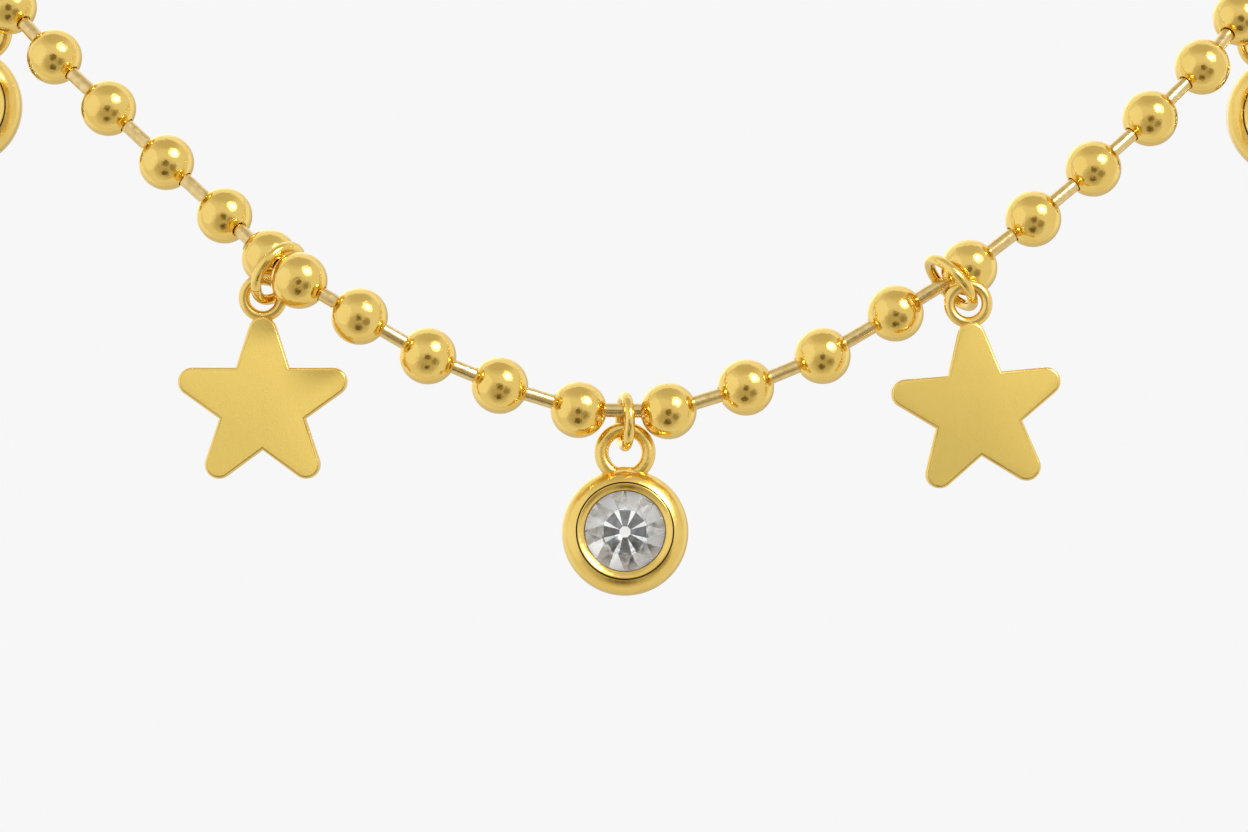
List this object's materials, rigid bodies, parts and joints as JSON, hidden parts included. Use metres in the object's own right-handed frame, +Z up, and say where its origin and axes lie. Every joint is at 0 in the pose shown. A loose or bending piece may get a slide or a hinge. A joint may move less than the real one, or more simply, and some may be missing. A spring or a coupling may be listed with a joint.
{
  "type": "ball chain charm necklace",
  "caption": "Gold-coloured ball chain necklace with flat star charms and round stone-set pendants on jump rings, hanging as it is worn.",
  "frame": {"origin": "on the chain's middle line behind the neck, in the middle of the clasp, where the necklace hangs", "axes": "+Z up, -Y from the nape towards the front of the necklace, +X to the viewer's right"},
  "size_m": [0.1208, 0.1199, 0.1048],
  "materials": {
    "ball_chain": "polished",
    "clasp": "polished",
    "main_ring": "polished",
    "main_pendant": "polished",
    "main_stone": "polished",
    "star_left_ring": "polished",
    "star_left_charm": "satin",
    "star_right_ring": "polished",
    "star_right_charm": "satin",
    "side_left_ring": "polished",
    "side_left_pendant": "polished",
    "side_left_stone": "polished",
    "side_right_ring": "polished",
    "side_right_pendant": "polished",
    "side_right_stone": "polished"
  },
  "bodies": {
    "necklace": {"ball_chain": "ball_chain", "clasp": "clasp", "star_left_ring": "star_left_ring", "star_left_charm": "star_left_charm", "star_right_ring": "star_right_ring", "star_right_charm": "star_right_charm", "side_left_ring": "side_left_ring", "side_left_pendant": "side_left_pendant", "side_left_stone": "side_left_stone", "side_right_ring": "side_right_ring", "side_right_pendant": "side_right_pendant", "side_right_stone": "side_right_stone"},
    "main_ring": {"main_ring": "main_ring"},
    "main_pendant": {"main_pendant": "main_pendant", "main_stone": "main_stone"}
  },
  "joints": [
    {"name": "main_ring_swing", "type": "hinge", "parent": "necklace", "child": "main_ring", "pos_m": [0, -0.113, -0.089], "axis": [1, 0, 0], "range_deg": [-60, 60]},
    {"name": "main_pendant_sway", "type": "hinge", "parent": "main_ring", "child": "main_pendant", "pos_m": [0, -0.11255, -0.0919], "axis": [0, 1, 0], "range_deg": [-35, 35]}
  ]
}
